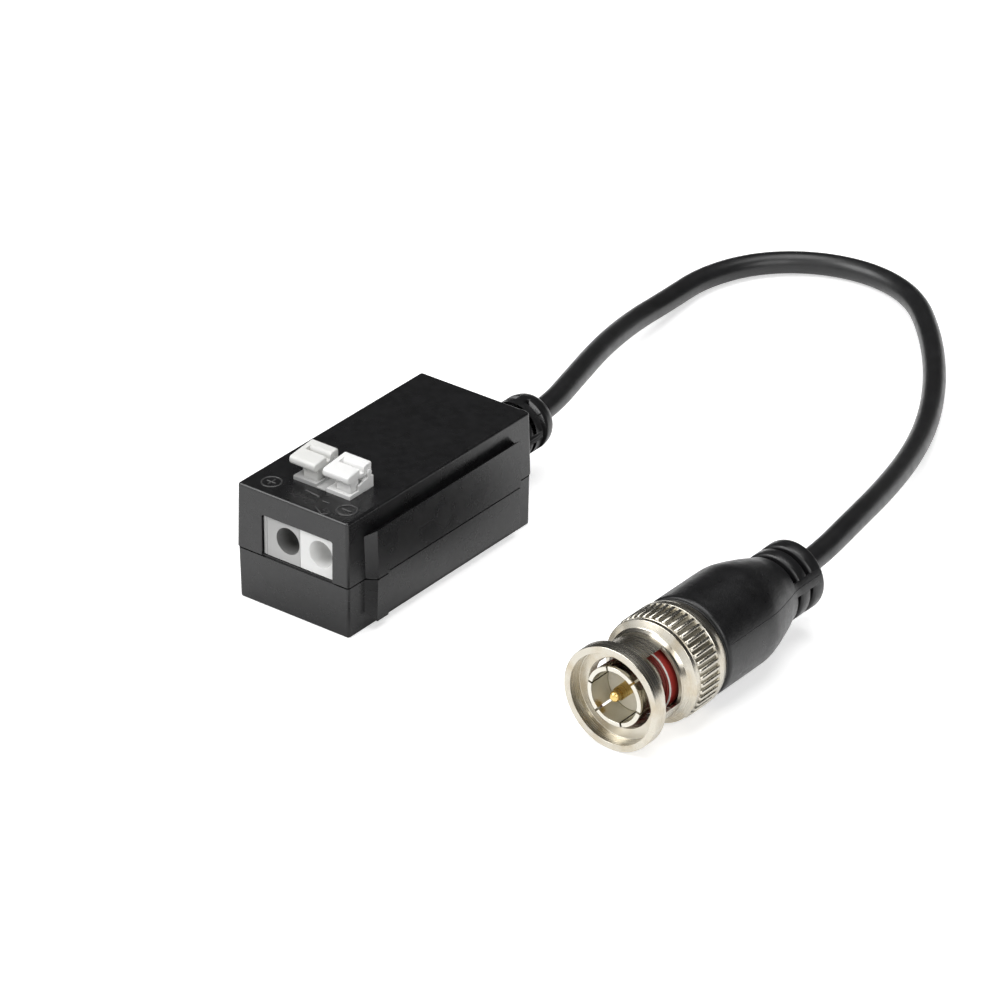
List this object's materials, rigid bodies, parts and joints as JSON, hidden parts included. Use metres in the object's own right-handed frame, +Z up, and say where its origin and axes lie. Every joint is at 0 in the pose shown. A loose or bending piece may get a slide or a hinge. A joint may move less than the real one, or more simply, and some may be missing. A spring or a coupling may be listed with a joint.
{
  "type": "cctv video balun",
  "caption": "Passive video balun: a small box with two lever wire terminals, a short coaxial lead and a bayonet plug.",
  "frame": {"origin": "centre of the housing's footprint on the table, rail included", "axes": "+Y from the terminals towards the lead, +X towards the rail and the plug, +Z up"},
  "size_m": [0.0748, 0.1281, 0.0209],
  "materials": {
    "gloss_black": "glossy moulded",
    "terminal_grey": "satin moulded",
    "terminal_white": "satin moulded",
    "lever_cream": "satin moulded",
    "lever_white": "satin moulded",
    "spring_steel": "bright",
    "tinned_brass": "tinned",
    "board_green": "solder mask",
    "ferrite": "matte",
    "copper_wire": "enamelled",
    "arrester_ceramic": "glazed",
    "capacitor_ceramic": "matte",
    "wire_core": "smooth",
    "boot_black": "matte moulded",
    "jacket_black": "satin",
    "nickel_plate": "turned, plated",
    "insulator_cream": "matte",
    "gold_plate": "plated",
    "gasket_red": "matte"
  },
  "bodies": {
    "balun": {"upper_cover": "gloss_black", "lower_base": "gloss_black", "terminal_left": "terminal_grey", "terminal_right": "terminal_white", "terminal_end_plate": "terminal_grey", "clamp_spring_left": "spring_steel", "clamp_spring_right": "spring_steel", "contact_left": "tinned_brass", "contact_right": "tinned_brass", "circuit_board": "board_green", "ferrite_core": "ferrite", "choke_winding": "copper_wire", "surge_arrester": "arrester_ceramic", "filter_capacitor": "capacitor_ceramic", "signal_wire": "wire_core", "braid_tail": "tinned_brass", "housing_strain_relief": "boot_black", "cable": "jacket_black", "plug_boot": "boot_black", "crimp_ferrule": "nickel_plate", "plug_core": "wire_core", "plug_body": "nickel_plate", "outer_contact": "nickel_plate", "insulator": "insulator_cream", "centre_pin": "gold_plate", "face_gasket": "gasket_red", "gasket_washer": "nickel_plate", "spring_washer": "spring_steel"},
    "lever_left": {"lever_left": "lever_cream"},
    "lever_right": {"lever_right": "lever_white"},
    "nut_slider": {"retaining_ring": "spring_steel"},
    "coupling_nut": {"coupling_nut": "nickel_plate"}
  },
  "joints": [
    {"name": "lever_left_press", "type": "hinge", "parent": "balun", "child": "lever_left", "pos_m": [-0.00072, -0.00998, 0.0195], "axis": [1, 0, 0], "range_deg": [0, 11], "stiffness_Nm_per_rad": 0.1, "springref_deg": -2.86, "deforming": ["clamp_spring_left"]},
    {"name": "lever_right_press", "type": "hinge", "parent": "balun", "child": "lever_right", "pos_m": [-0.00072, -0.00998, 0.0195], "axis": [1, 0, 0], "range_deg": [0, 11], "stiffness_Nm_per_rad": 0.1, "springref_deg": -2.86, "deforming": ["clamp_spring_right"]},
    {"name": "nut_float", "type": "slide", "parent": "balun", "child": "nut_slider", "axis": [0, -1, 0], "range_m": [0, 0.0008], "stiffness_N_per_m": 2000, "springref_m": -0.0002, "deforming": ["spring_washer"]},
    {"name": "nut_spin", "type": "hinge", "parent": "nut_slider", "child": "coupling_nut", "pos_m": [0.05212, -0.01255, 0.00745], "axis": [0, 1, 0], "continuous": true}
  ]
}
